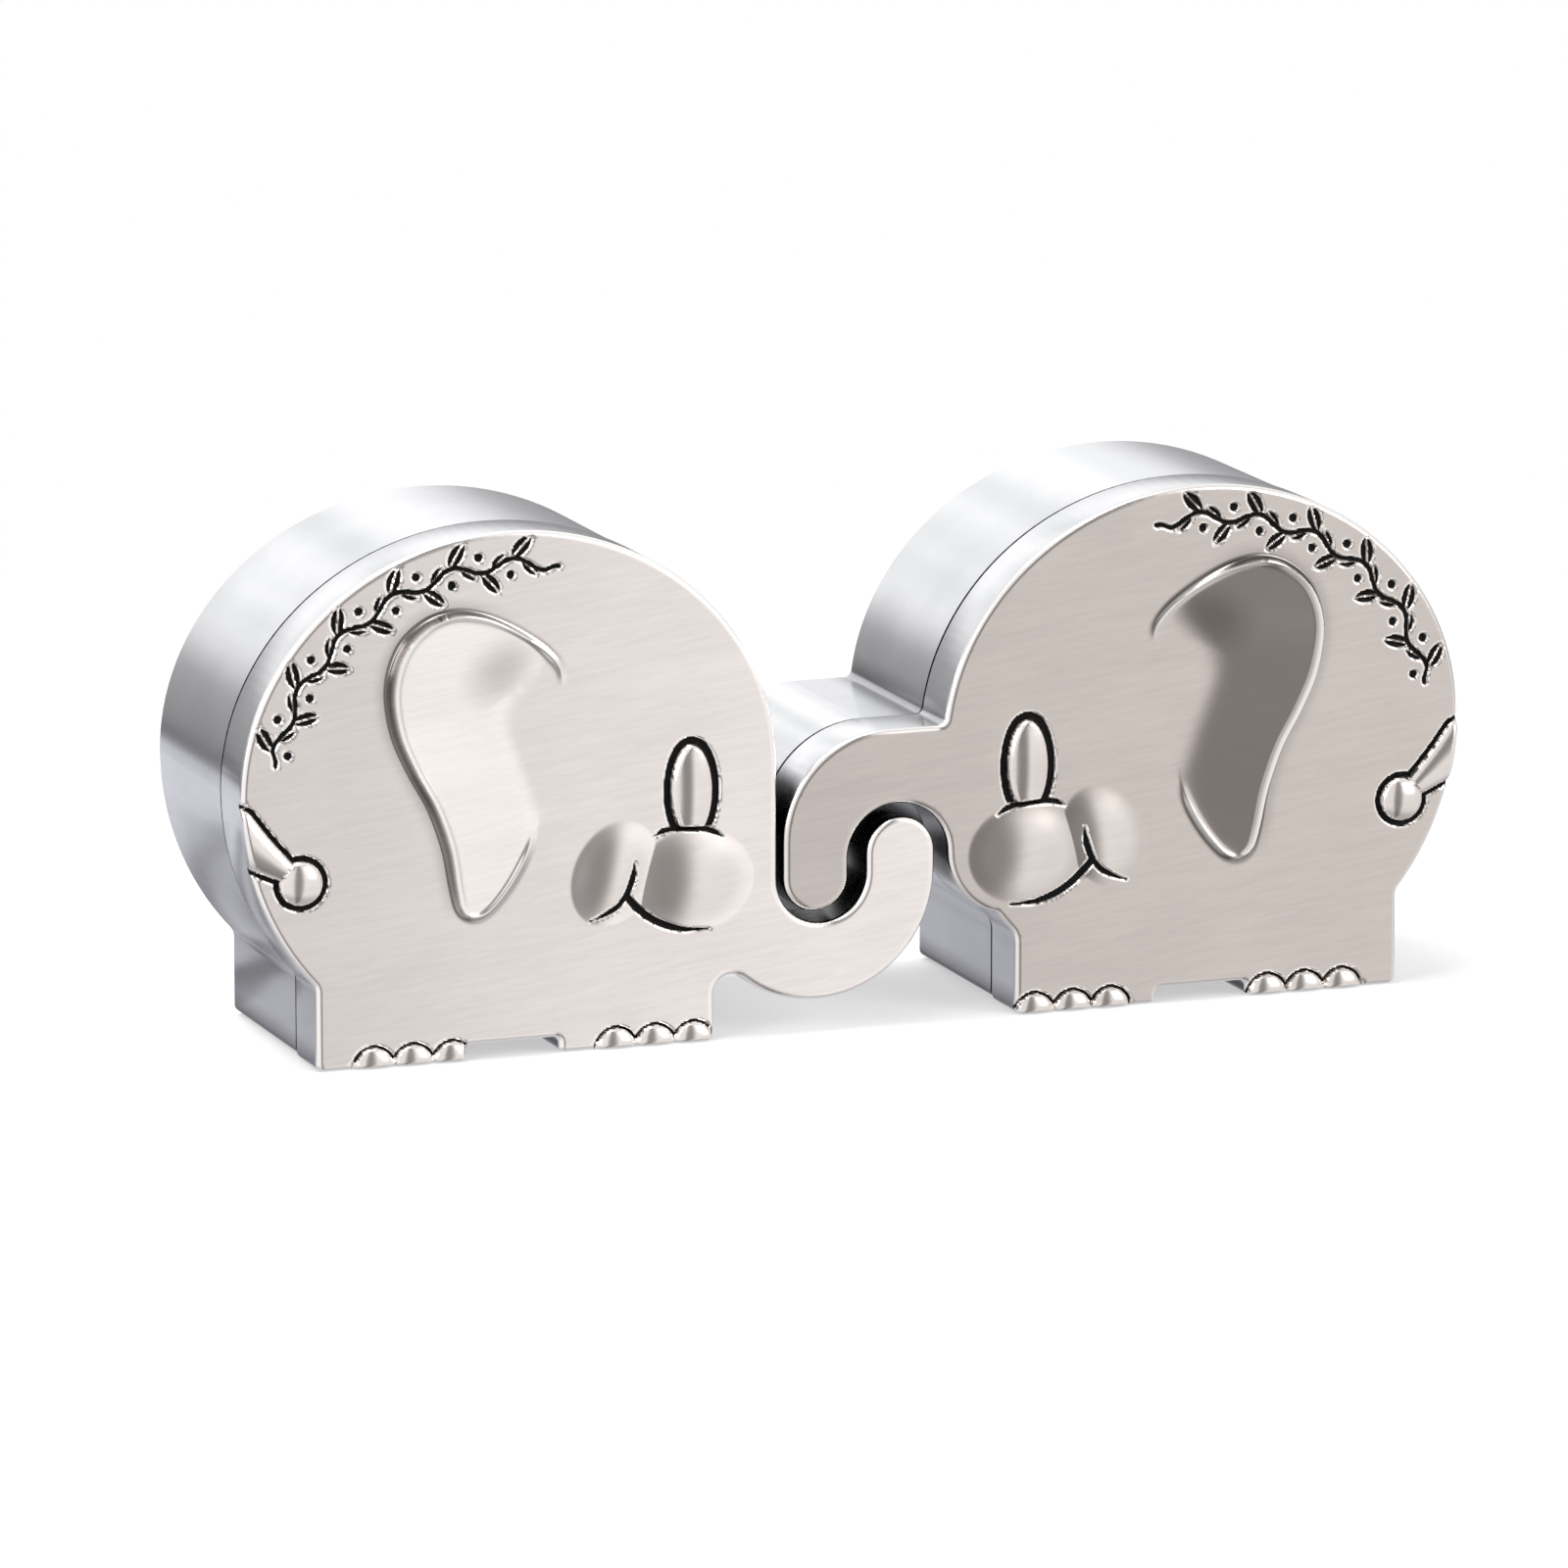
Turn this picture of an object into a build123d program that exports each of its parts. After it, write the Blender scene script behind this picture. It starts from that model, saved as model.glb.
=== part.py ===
from build123d import *
import os
from math import sqrt

os.makedirs("parts", exist_ok=True)

# Two elephant boxes stand face to face, each a rear body and a front cover, with their trunks hooked.
# Millimetres. X runs along the pair, Y from the front faces to the backs, Z up from the table.
# The origin is on the table, in the middle of the pair's length and depth.

# One elephant: a rounded body on a leg block
body_half_length = 26.6
crown_height = 24.1
centre_height = 26.3
haunch_overhang = 6.7
chin_overhang = 6.9
tooth_foot_lead = 0.5
curl_foot_lead = -0.5
ankle_round = 1.2
foot_corner_round = 0.8
belly_notch_half = 4.7
belly_notch_height = 1.5
belly_notch_round_share = 0.4

# Depths, from the front face backwards
box_depth = 26.7
lid_depth = 6.6
edge_break = 0.45

# Walls and the push fit between the cover and the body
side_wall = 1.8
back_wall = 1.6
lid_face_wall = 1.8
tongue_length = 3.0
tongue_thickness = 1.1
tongue_clearance = 0.08
lid_overhang = 0.15
seam_groove_width = 0.35
seam_groove_depth = 0.35

# Hooked trunks: the gaps between the two castings, named by where they lie
head_gap = 16.9
hook_gap_side = 0.7
hook_gap_middle = 1.9
hook_gap_far = 1.4
hook_gap_bottom = 1.2
hook_gap_top = 1.35

# Tooth box trunk, which runs out under the other one and curls up
tooth_trunk_rise = 3.1
tooth_trunk_thickness = 7.45
tooth_trunk_radius = 12.0
tooth_tip_width = 6.9
tooth_tip_rise = 1.7
tooth_throat_round = 1.75

# Curl box trunk, which arches over and hangs down into the hook
curl_trunk_width = 6.5
curl_trunk_thickness = 7.2
curl_trunk_radius = 10.3
curl_brow_round = 0.8
chin_radius = 6.5
chin_throat_round = 2.0

# Velvet linings
floor_pad_thickness = 1.5
lid_pad_thickness = 1.5
wall_lining_thickness = 0.8
glue_gap = 0.1
tongue_to_lining_gap = 0.4

# Ear: a flap whose rim stands proud and whose inside is dished down to the face
ear_width = 17.0
ear_length = 29.4
ear_rear = 11.8
ear_low = 13.6
ear_rim_height = 1.05
ear_dish_reach = 16.6
ear_dish_front = 2.5
ear_dish_height = 29.0
ear_rim_shares = [
    (1.00, 0.741), (0.924, 0.850), (0.776, 0.912), (0.547, 0.973), (0.347, 1.00), (0.171, 0.966),
    (0.053, 0.891), (0.00, 0.779), (0.029, 0.626), (0.129, 0.486), (0.253, 0.361), (0.329, 0.214),
    (0.376, 0.092), (0.418, 0.020), (0.482, 0.00), (0.559, 0.017), (0.676, 0.102), (0.771, 0.197),
    (0.812, 0.286),
]
ear_front_shares = [(0.812, 0.286), (0.647, 0.497), (0.541, 0.639), (0.624, 0.735), (1.00, 0.741)]

# Eye: a tall bead in a moat, cut off flat above the cheek
eye_to_brow = 8.9
eye_height = 24.3
eye_half_width = 2.25
eye_half_length = 4.6
eye_bulge = 1.1
eye_foot_height = 20.9
eye_moat_width = 0.6

# Cheeks: a round one under the eye and a leaf behind it, with a smile line under both
cheek_to_brow = 8.0
cheek_height = 15.8
cheek_half_width = 5.7
cheek_half_length = 4.95
cheek_bulge = 1.0
leaf_to_brow = 17.3
leaf_height = 16.9
leaf_half_width = 2.7
leaf_half_length = 5.3
leaf_bulge = 0.85
leaf_tilt = 34.0
smile_line_width = 0.6
relief_groove_depth = 0.35

# Tail: a ball on a stem that runs off the rear edge
tail_ball_to_rear = 5.95
tail_ball_height = 18.1
tail_ball_radius = 2.15
tail_ball_bulge = 1.0
tail_moat_width = 0.7
tail_stem_to_rear = 2.4
tail_stem_height = 21.3
tail_stem_half_length = 5.2
tail_stem_half_width = 1.9
tail_stem_bulge = 0.8
tail_stem_tilt = 45.0

# Toenails: three on each foot, from the foot's front end
nails_per_foot = 3
nail_half_width = 1.95
nail_height = 2.3
nail_bulge = 0.8
nail_pitch = 4.05

# Cuts run past the surface that they open by this much
overrun = 1.0

# Places that follow from the sizes above
relief_height = max(ear_rim_height, eye_bulge, cheek_bulge, tail_ball_bulge)
front_y = (relief_height - box_depth) / 2
back_y = front_y + box_depth
seam_y = front_y + lid_depth
tooth_head_x = -head_gap / 2
curl_head_x = head_gap / 2
tooth_centre_x = tooth_head_x - body_half_length
curl_centre_x = curl_head_x + body_half_length
cavity_floor = belly_notch_height + side_wall

# The slot in the tooth box's trunk holds the curl box's trunk with a gap on each side
slot_width = hook_gap_side + curl_trunk_width + hook_gap_middle
slot_x = tooth_head_x + slot_width / 2
slot_bottom = tooth_trunk_rise + tooth_trunk_thickness
slot_z = slot_bottom + slot_width / 2
tooth_tip_x = tooth_head_x + slot_width + tooth_tip_width / 2
tooth_tip_z = slot_z + tooth_tip_rise
tooth_trunk_x = tooth_tip_x + tooth_tip_width / 2 - tooth_trunk_radius
tooth_trunk_z = tooth_trunk_rise + tooth_trunk_radius

# The arch in the curl box's trunk clears the tooth box's upturned tip
arch_width = hook_gap_middle + tooth_tip_width + hook_gap_far
curl_tip_x = tooth_head_x + hook_gap_side + curl_trunk_width / 2
curl_tip_z = slot_bottom + hook_gap_bottom + curl_trunk_width / 2
arch_x = curl_tip_x + curl_trunk_width / 2 + arch_width / 2
arch_top = tooth_tip_z + tooth_tip_width / 2 + hook_gap_top
arch_z = arch_top - arch_width / 2
curl_trunk_top = arch_top + curl_trunk_thickness
curl_trunk_x = curl_tip_x - curl_trunk_width / 2 + curl_trunk_radius
curl_trunk_z = curl_trunk_top - curl_trunk_radius
chin_x = arch_x + arch_width / 2 + chin_radius


# How far the legs reach behind and before the body's centre; each box's legs stand a little forward or back
def leg_reach(facing):
    lead = tooth_foot_lead if facing > 0 else curl_foot_lead
    return body_half_length - haunch_overhang - lead, body_half_length - chin_overhang + lead


# Flat shape between two X places and two heights
def block(x_one, x_two, low, high):
    return Pos((x_one + x_two) / 2, (low + high) / 2) * Rectangle(abs(x_two - x_one), high - low)


# Disc about a place on the outline
def disc(x, z, radius):
    return Pos(x, z) * Circle(radius)


# Outline stood upright at a depth
def upright(outline, y):
    return Plane(origin=(0, y, 0), x_dir=(1, 0, 0), z_dir=(0, -1, 0)) * outline


# Solid of an upright outline between two depths
def slab(outline, near, far):
    return extrude(upright(outline, far), amount=far - near)


# Slab whose near or far edge is broken by a narrow slope; outline_of draws it at any inset
def edged_slab(outline_of, inset, near, far, broken):
    wide = outline_of(inset)
    narrow = outline_of(inset + edge_break)
    if broken == near:
        slope = loft([upright(wide, near + edge_break), upright(narrow, near)], ruled=True)
        return slab(wide, near + edge_break, far) + slope
    slope = loft([upright(narrow, far), upright(wide, far - edge_break)], ruled=True)
    return slab(wide, near, far - edge_break) + slope


# Outline with the corner nearest a place rounded off
def rounded(outline, x, z, radius):
    corner = outline.vertices().sort_by_distance((x, z, 0))[0]
    return fillet(corner, radius)


# Rounded body on its leg block, drawn in from the outside by an inset; facing is +1 to the right
def body_outline(centre_x, facing, inset, floor):
    half = body_half_length - inset
    top = centre_height + crown_height + overrun
    above = block(centre_x - half, centre_x + half, centre_height, top)
    below = block(centre_x - half, centre_x + half, floor, centre_height)
    crown = Pos(centre_x, centre_height) * Ellipse(half, crown_height - inset)
    belly = disc(centre_x, centre_height, half)
    rear_reach, front_reach = leg_reach(facing)
    rear = centre_x - facing * (rear_reach - inset)
    front = centre_x + facing * (front_reach - inset)
    return (crown & above) + (belly & below) + block(rear, front, floor, centre_height)


# Rounding that fills the hollow corner between an upright line and a disc above it
def corner_fill(line_x, side, x, z, radius, round_radius):
    reach = radius + round_radius
    round_x = line_x + side * round_radius
    round_z = z - sqrt(reach**2 - (round_x - x) ** 2)
    touch_x = round_x + (x - round_x) * round_radius / reach
    return block(line_x, touch_x, round_z, z) - disc(round_x, round_z, round_radius)


# Full outer shape of the body and feet, before its trunk is added
def standing_outline(centre_x, facing, inset):
    outline = body_outline(centre_x, facing, inset, inset)
    rear = centre_x - facing * (leg_reach(facing)[0] - inset)
    half = body_half_length - inset
    outline = outline + corner_fill(rear, -facing, centre_x, centre_height, half, ankle_round + inset)
    outline = rounded(outline, rear, inset, foot_corner_round)
    notch_half = belly_notch_half + inset
    notch_top = belly_notch_height + inset
    notch = block(centre_x - notch_half, centre_x + notch_half, -overrun, notch_top)
    outline = outline - notch
    for side in (-1, 1):
        for height in (inset, notch_top):
            corner_round = belly_notch_round_share * belly_notch_height
            outline = rounded(outline, centre_x + side * notch_half, height, corner_round)
    return outline


# Tooth box from the front: the trunk runs out low and curls up round an open slot
def tooth_outline(inset):
    head_x = tooth_head_x - inset
    outer = tooth_trunk_radius - inset
    bowl = disc(tooth_trunk_x, tooth_trunk_z, outer)
    bowl = bowl & block(tooth_trunk_x - outer, tooth_trunk_x + outer, inset, tooth_trunk_z)
    brow = block(tooth_centre_x, head_x, tooth_trunk_z, centre_height)
    half_tip = tooth_tip_width / 2 - inset
    tip = block(tooth_tip_x - half_tip, tooth_tip_x + half_tip, slot_z, tooth_tip_z)
    tip = tip + disc(tooth_tip_x, tooth_tip_z, half_tip)
    slot = disc(slot_x, slot_z, slot_width / 2 + inset)
    slot = slot + block(head_x, tooth_tip_x - half_tip, slot_z, tooth_tip_z + tooth_tip_width)
    standing = standing_outline(tooth_centre_x, 1, inset)
    outline = standing + bowl + brow + tip - slot
    leg_x = tooth_centre_x + leg_reach(1)[1] - inset
    throat_round = tooth_throat_round + inset
    outline = outline + corner_fill(leg_x, 1, tooth_trunk_x, tooth_trunk_z, outer, throat_round)
    return rounded(outline, leg_x, inset, foot_corner_round)


# Curl box from the front: the trunk leaves the brow level, arches over and hangs down
def curl_outline(inset):
    top = curl_trunk_top - inset
    outer = curl_trunk_radius - inset
    half_tip = curl_trunk_width / 2 - inset
    left = curl_tip_x - half_tip
    bend = disc(curl_trunk_x, curl_trunk_z, outer)
    bend = bend & block(left, curl_trunk_x, curl_trunk_z, top)
    bridge = block(curl_trunk_x, chin_x, arch_z, top)
    hanging = block(left, curl_tip_x + half_tip, curl_tip_z, curl_trunk_z)
    hanging = hanging + disc(curl_tip_x, curl_tip_z, half_tip)
    web = block(curl_tip_x, curl_trunk_x, arch_z, arch_top)
    chin = disc(chin_x, arch_z, chin_radius - inset)
    arch = disc(arch_x, arch_z, arch_width / 2 + inset)
    arch = arch + block(curl_tip_x + half_tip, arch_x + arch_width / 2 + inset, slot_bottom, arch_z)
    standing = standing_outline(curl_centre_x, -1, inset)
    outline = standing + bend + bridge + hanging + web + chin - arch
    brow_x = curl_head_x + inset
    outline = rounded(outline, brow_x, top, curl_brow_round)
    leg_x = curl_centre_x - leg_reach(-1)[1] + inset
    half = body_half_length - inset
    throat_round = chin_throat_round + inset
    outline = outline + corner_fill(leg_x, -1, curl_centre_x, centre_height, half, throat_round)
    return rounded(outline, leg_x, inset, foot_corner_round)


# Inside of a box or of its lining, as far in from the outside as the inset says
def cavity_outline(centre_x, facing, inset):
    return body_outline(centre_x, facing, side_wall + inset, cavity_floor + inset)


# Rear body: a deep open box with its trunk solid, and a fine groove beside the cover
def rear_body(outline_of, centre_x, facing):
    shell = edged_slab(outline_of, lid_overhang, seam_y + seam_groove_width, back_y, back_y)
    rim = slab(outline_of(lid_overhang + seam_groove_depth), seam_y, seam_y + seam_groove_width)
    hollow = slab(cavity_outline(centre_x, facing, 0), seam_y - overrun, back_y - back_wall)
    return shell + rim - hollow


# Low dome on the front face, turned about the depth axis
def dome(x, z, half_width, half_length, bulge, tilt):
    half_ball = Rot(90, 0, 0) * Sphere(1, arc_size1=0, arc_size2=90)
    oval = scale(half_ball, by=(half_width, bulge, half_length))
    return Pos(x, front_y, z) * Rot(0, tilt, 0) * oval


# Ring round an oval, for a line sunk into the face
def oval_ring(x, z, half_width, half_length, width, tilt):
    outer = Ellipse(half_width + width, half_length + width)
    ring = outer - Ellipse(half_width, half_length)
    return Pos(x, z) * Rot(0, 0, -tilt) * ring


# Cutter for a line sunk into the face
def sunk(line):
    return slab(line, front_y - overrun, front_y + relief_groove_depth)


# Ear: its outline stands proud, dished by a very large ball so that only the rim is high
def ear(centre_x, facing):
    def place(shares):
        return [
            (centre_x + facing * (x * ear_width - ear_rear), ear_low + z * ear_length)
            for x, z in shares
        ]

    rim = Spline(*place(ear_rim_shares))
    front = Spline(*place(ear_front_shares))
    flap = slab(make_face(rim + front), front_y - ear_rim_height, front_y + lid_face_wall / 2)
    dish_radius = (ear_dish_reach**2 + ear_rim_height**2) / (2 * ear_rim_height)
    dish_x = centre_x + facing * ear_dish_front
    return flap - Pos(dish_x, front_y - dish_radius, ear_dish_height) * Sphere(dish_radius)


# Stem of the tail, before it is cut off at the rear edge
def tail_stem(x, tilt):
    half_width = tail_stem_half_width
    return dome(x, tail_stem_height, half_width, tail_stem_half_length, tail_stem_bulge, tilt)


# Eye, cheeks, ear, tail and toenails of one elephant, added to its cover
def with_relief(lid, outline, centre_x, facing):
    brow_x = centre_x + facing * body_half_length
    rear_x = centre_x - facing * body_half_length
    eye_x = brow_x - facing * eye_to_brow
    cheek_x = brow_x - facing * cheek_to_brow
    leaf_x = brow_x - facing * leaf_to_brow
    ball_x = rear_x + facing * tail_ball_to_rear
    stem_x = rear_x + facing * tail_stem_to_rear
    tilt = facing * leaf_tilt

    # The part of the face above the eye's foot, and the parts that the smile line runs in
    eye_span = 2 * eye_half_width
    above_eye_foot = block(eye_x - eye_span, eye_x + eye_span, eye_foot_height, 2 * centre_height)
    under_cheek = block(cheek_x - facing * 2 * cheek_half_width, cheek_x, 0, cheek_height)
    under_leaf = block(leaf_x, leaf_x + facing * 2 * leaf_half_width, 0, leaf_height)

    moat = oval_ring(eye_x, eye_height, eye_half_width, eye_half_length, eye_moat_width, 0)
    smile = oval_ring(cheek_x, cheek_height, cheek_half_width, cheek_half_length, smile_line_width, 0)
    leaf_line = oval_ring(leaf_x, leaf_height, leaf_half_width, leaf_half_length, smile_line_width, tilt)
    tail_moat = disc(ball_x, tail_ball_height, tail_ball_radius + tail_moat_width)
    lid = lid - sunk(moat & above_eye_foot) - sunk(smile & under_cheek)
    lid = lid - sunk(leaf_line & under_leaf) - sunk(tail_moat)

    eye = dome(eye_x, eye_height, eye_half_width, eye_half_length, eye_bulge, 0)
    eye = eye & slab(above_eye_foot, front_y - 2 * eye_bulge, front_y + 2 * eye_bulge)
    lid = lid + eye
    lid = lid + dome(cheek_x, cheek_height, cheek_half_width, cheek_half_length, cheek_bulge, 0)
    lid = lid + dome(leaf_x, leaf_height, leaf_half_width, leaf_half_length, leaf_bulge, tilt)
    lid = lid + dome(ball_x, tail_ball_height, tail_ball_radius, tail_ball_radius, tail_ball_bulge, 0)
    stem = tail_stem(stem_x, -facing * tail_stem_tilt)
    lid = lid + (stem & slab(outline, front_y - 2 * tail_stem_bulge, front_y + tail_stem_bulge))
    lid = lid + ear(centre_x, facing)
    for foot_end in (leg_reach(facing)[1], -belly_notch_half):
        for step in range(nails_per_foot):
            nail_x = centre_x + facing * (foot_end - nail_half_width - step * nail_pitch)
            nail = dome(nail_x, 0, nail_half_width, nail_height, nail_bulge, 0)
            lid = lid + (nail & slab(outline, front_y - 2 * nail_bulge, front_y + nail_bulge))
    return lid


# Front cover: face, rim and a tongue that pushes into the body, hollowed from behind
def front_lid(outline_of, centre_x, facing):
    lid = edged_slab(outline_of, 0, front_y, seam_y, front_y)
    tongue_end = seam_y + tongue_length
    lid = lid + slab(cavity_outline(centre_x, facing, tongue_clearance), seam_y, tongue_end)
    inner = cavity_outline(centre_x, facing, tongue_clearance + tongue_thickness)
    lid = lid - slab(inner, front_y + lid_face_wall, tongue_end + overrun)
    return with_relief(lid, outline_of(0), centre_x, facing)


# Velvet pad glued to the inside of the back wall
def floor_pad(centre_x, facing):
    far = back_y - back_wall
    return slab(cavity_outline(centre_x, facing, glue_gap), far - floor_pad_thickness, far)


# Velvet strip glued round the side wall, from the pad to just short of the cover's tongue
def wall_lining(centre_x, facing):
    far = back_y - back_wall - floor_pad_thickness
    near = seam_y + tongue_length + tongue_to_lining_gap
    outside = cavity_outline(centre_x, facing, glue_gap)
    inside = cavity_outline(centre_x, facing, glue_gap + wall_lining_thickness)
    return slab(outside - inside, near, far)


# Velvet pad glued inside the cover's face
def lid_pad(centre_x, facing):
    near = front_y + lid_face_wall
    inner = cavity_outline(centre_x, facing, tongue_clearance + tongue_thickness + glue_gap)
    return slab(inner, near, near + lid_pad_thickness)


nodes = {
    "tooth_box_body": rear_body(tooth_outline, tooth_centre_x, 1),
    "tooth_box_lid": front_lid(tooth_outline, tooth_centre_x, 1),
    "tooth_box_floor_pad": floor_pad(tooth_centre_x, 1),
    "tooth_box_wall_lining": wall_lining(tooth_centre_x, 1),
    "tooth_lid_pad": lid_pad(tooth_centre_x, 1),
    "curl_box_body": rear_body(curl_outline, curl_centre_x, -1),
    "curl_box_lid": front_lid(curl_outline, curl_centre_x, -1),
    "curl_box_floor_pad": floor_pad(curl_centre_x, -1),
    "curl_box_wall_lining": wall_lining(curl_centre_x, -1),
    "curl_lid_pad": lid_pad(curl_centre_x, -1),
}

for name, solid in nodes.items():
    export_step(solid, "parts/" + name + ".step")
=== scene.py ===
import math

import bmesh
import bpy
import numpy as np
from mathutils import Matrix, Vector
from mathutils.geometry import delaunay_2d_cdt


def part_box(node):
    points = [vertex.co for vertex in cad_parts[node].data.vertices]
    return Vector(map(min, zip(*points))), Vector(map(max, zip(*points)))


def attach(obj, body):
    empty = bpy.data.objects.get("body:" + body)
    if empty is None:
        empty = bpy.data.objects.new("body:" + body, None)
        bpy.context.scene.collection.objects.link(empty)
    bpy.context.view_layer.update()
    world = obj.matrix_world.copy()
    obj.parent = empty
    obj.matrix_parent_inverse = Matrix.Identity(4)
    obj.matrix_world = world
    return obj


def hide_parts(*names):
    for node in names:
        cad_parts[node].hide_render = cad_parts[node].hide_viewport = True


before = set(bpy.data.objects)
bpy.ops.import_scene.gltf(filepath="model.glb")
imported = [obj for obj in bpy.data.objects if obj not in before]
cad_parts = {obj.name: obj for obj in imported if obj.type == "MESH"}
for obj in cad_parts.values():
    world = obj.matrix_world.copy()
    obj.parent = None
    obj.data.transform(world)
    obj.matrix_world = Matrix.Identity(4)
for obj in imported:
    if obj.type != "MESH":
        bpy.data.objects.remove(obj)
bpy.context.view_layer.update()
print("frame loaded")

mm = 0.001  # the scene is in metres, and shapes are drawn in millimetres and scaled by this
farOff = 9.0  # millimetres, further than any line or edge matters

# Which way each elephant faces, and how far forward its feet stand
boxes = {
    "tooth": {"facing": 1, "footLead": 0.5},
    "curl": {"facing": -1, "footLead": -0.5},
}
for name, box in boxes.items():
    low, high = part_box(name + "_box_floor_pad")
    box["centre"] = (low.x + high.x) / 2 / mm


class Nodes:
    # Short way to place nodes in one tree and join them up
    def __init__(self, tree):
        self.tree = tree

    def add(self, kind, **settings):
        node = self.tree.nodes.new(kind)
        for key, value in settings.items():
            setattr(node, key, value)
        return node

    def join(self, source, target):
        self.tree.links.new(source, target)

    def put(self, socket, value):
        if isinstance(value, bpy.types.NodeSocket):
            self.join(value, socket)
        else:
            socket.default_value = value

    def fill(self, node, *values):
        for socket, value in zip(node.inputs, values):
            self.put(socket, value)
        return node.outputs

    def math(self, operation, *values):
        return self.fill(self.add("ShaderNodeMath", operation=operation), *values)[0]

    def vector(self, operation, *values):
        return self.fill(self.add("ShaderNodeVectorMath", operation=operation), *values)

    def split(self, vector):
        return self.fill(self.add("ShaderNodeSeparateXYZ"), vector)

    def mixShader(self, factor, first, second):
        return self.fill(self.add("ShaderNodeMixShader"), factor, first, second)[0]

    def remap(self, value, fromLow, fromHigh, toLow=0.0, toHigh=1.0, smooth=True):
        node = self.add("ShaderNodeMapRange")
        node.interpolation_type = "SMOOTHSTEP" if smooth else "LINEAR"
        for name, given in zip(("Value", "From Min", "From Max", "To Min", "To Max"),
                               (value, fromLow, fromHigh, toLow, toHigh)):
            self.put(node.inputs[name], given)
        return node.outputs["Result"]

    def mixColor(self, factor, first, second):
        node = self.add("ShaderNodeMix", data_type="RGBA")
        self.put(node.inputs["Factor"], factor)
        self.put(node.inputs[6], first)
        self.put(node.inputs[7], second)
        return node.outputs[2]

    def noise(self, vector, scale, detail=3.0, roughness=0.5):
        node = self.add("ShaderNodeTexNoise")
        self.join(vector, node.inputs["Vector"])
        node.inputs["Scale"].default_value = scale
        node.inputs["Detail"].default_value = detail
        node.inputs["Roughness"].default_value = roughness
        return node.outputs["Fac"]

    def ramp(self, value, low, high, stops):
        # Colours at their places between low and high
        node = self.add("ShaderNodeValToRGB")
        elements = node.color_ramp.elements
        while len(elements) < len(stops):
            elements.new(0.5)
        for element, (place, color) in zip(elements, stops):
            element.position = (place - low) / (high - low)
            element.color = (*color, 1.0)
        self.join(self.remap(value, low, high, smooth=False), node.inputs["Fac"])
        return node.outputs["Color"]

    def bump(self, height, strength, distance):
        node = self.add("ShaderNodeBump")
        node.inputs["Strength"].default_value = strength
        node.inputs["Distance"].default_value = distance
        self.join(height, node.inputs["Height"])
        return node.outputs["Normal"]

    def attribute(self, name):
        return self.add("ShaderNodeAttribute", attribute_name=name).outputs["Fac"]


def newGroup(name):
    group = bpy.data.node_groups.new(name, "ShaderNodeTree")
    return group, Nodes(group)


def addSocket(group, name, kind, way, value=None):
    socket = group.interface.new_socket(name=name, in_out=way, socket_type=kind)
    if value is not None:
        socket.default_value = value


brush = {
    "along": (60.0, 2500.0, 2500.0),  # how fast the scratches change along x, y and z
    "fine": (1.0, 4.0, 0.6),  # each noise: scale, detail, roughness
    "wide": (0.22, 2.0, 0.5),
    "cloud": (90.0, 3.0),
    "fineShare": 0.65,
    "wideShare": 0.35,
}


def makeBrushing():
    # Fine parallel scratches that run along one direction, with a soft cloud beside them
    group, nodes = newGroup("brushing")
    addSocket(group, "Vector", "NodeSocketVector", "INPUT")
    addSocket(group, "Along", "NodeSocketVector", "INPUT", brush["along"])
    addSocket(group, "Turn", "NodeSocketFloat", "INPUT", 0.0)
    addSocket(group, "Lines", "NodeSocketFloat", "OUTPUT")
    addSocket(group, "Cloud", "NodeSocketFloat", "OUTPUT")
    given = nodes.add("NodeGroupInput").outputs
    out = nodes.add("NodeGroupOutput").inputs
    turned = nodes.add("ShaderNodeVectorRotate", rotation_type="Y_AXIS")
    nodes.join(given["Vector"], turned.inputs["Vector"])
    nodes.join(given["Turn"], turned.inputs["Angle"])
    scaled = nodes.vector("MULTIPLY", turned.outputs["Vector"], given["Along"])["Vector"]
    fine = nodes.math("MULTIPLY", nodes.noise(scaled, *brush["fine"]), brush["fineShare"])
    wide = nodes.math("MULTIPLY", nodes.noise(scaled, *brush["wide"]), brush["wideShare"])
    nodes.join(nodes.math("ADD", fine, wide), out["Lines"])
    nodes.join(nodes.noise(given["Vector"], *brush["cloud"]), out["Cloud"])
    return group


# Light that the metal sees all round: white on the left, a dark gap in front, pale on the right,
# and behind the object a pale table, a dark line, a grey wall and a white ceiling
studio = {
    "frontStops": [  # radians to the right of straight ahead
        (-3.14, (1.0, 1.0, 1.0)), (-0.10, (1.0, 1.0, 1.0)), (-0.03, (0.28, 0.275, 0.27)),
        (0.235, (0.28, 0.275, 0.27)), (0.30, (0.64, 0.635, 0.63)), (0.345, (1.08, 1.075, 1.07)),
        (0.42, (1.08, 1.075, 1.07)), (0.50, (0.96, 0.96, 0.955)), (3.14, (0.96, 0.96, 0.96)),
    ],
    "backStops": [  # height of the sight line, from straight down to straight up
        (-1.0, (0.72, 0.72, 0.78)), (-0.175, (0.74, 0.74, 0.80)), (-0.15, (0.12, 0.12, 0.13)),
        (-0.09, (0.30, 0.30, 0.31)), (0.08, (0.42, 0.42, 0.43)), (0.24, (1.22, 1.22, 1.23)),
        (1.0, (1.22, 1.22, 1.23)),
    ],
    "backFrom": (-0.15, 0.35),  # front gives way to back between these
    "lowFade": (-0.80, -0.50),
    "lowLevel": 0.60,
    "patchNoise": (3.0, 2.0),
    "patchEdge": (0.42, 0.60),
    "patchHeight": (0.16, 0.30),
    "patchColor": (0.92, 0.935, 0.94, 1.0),
}


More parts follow.
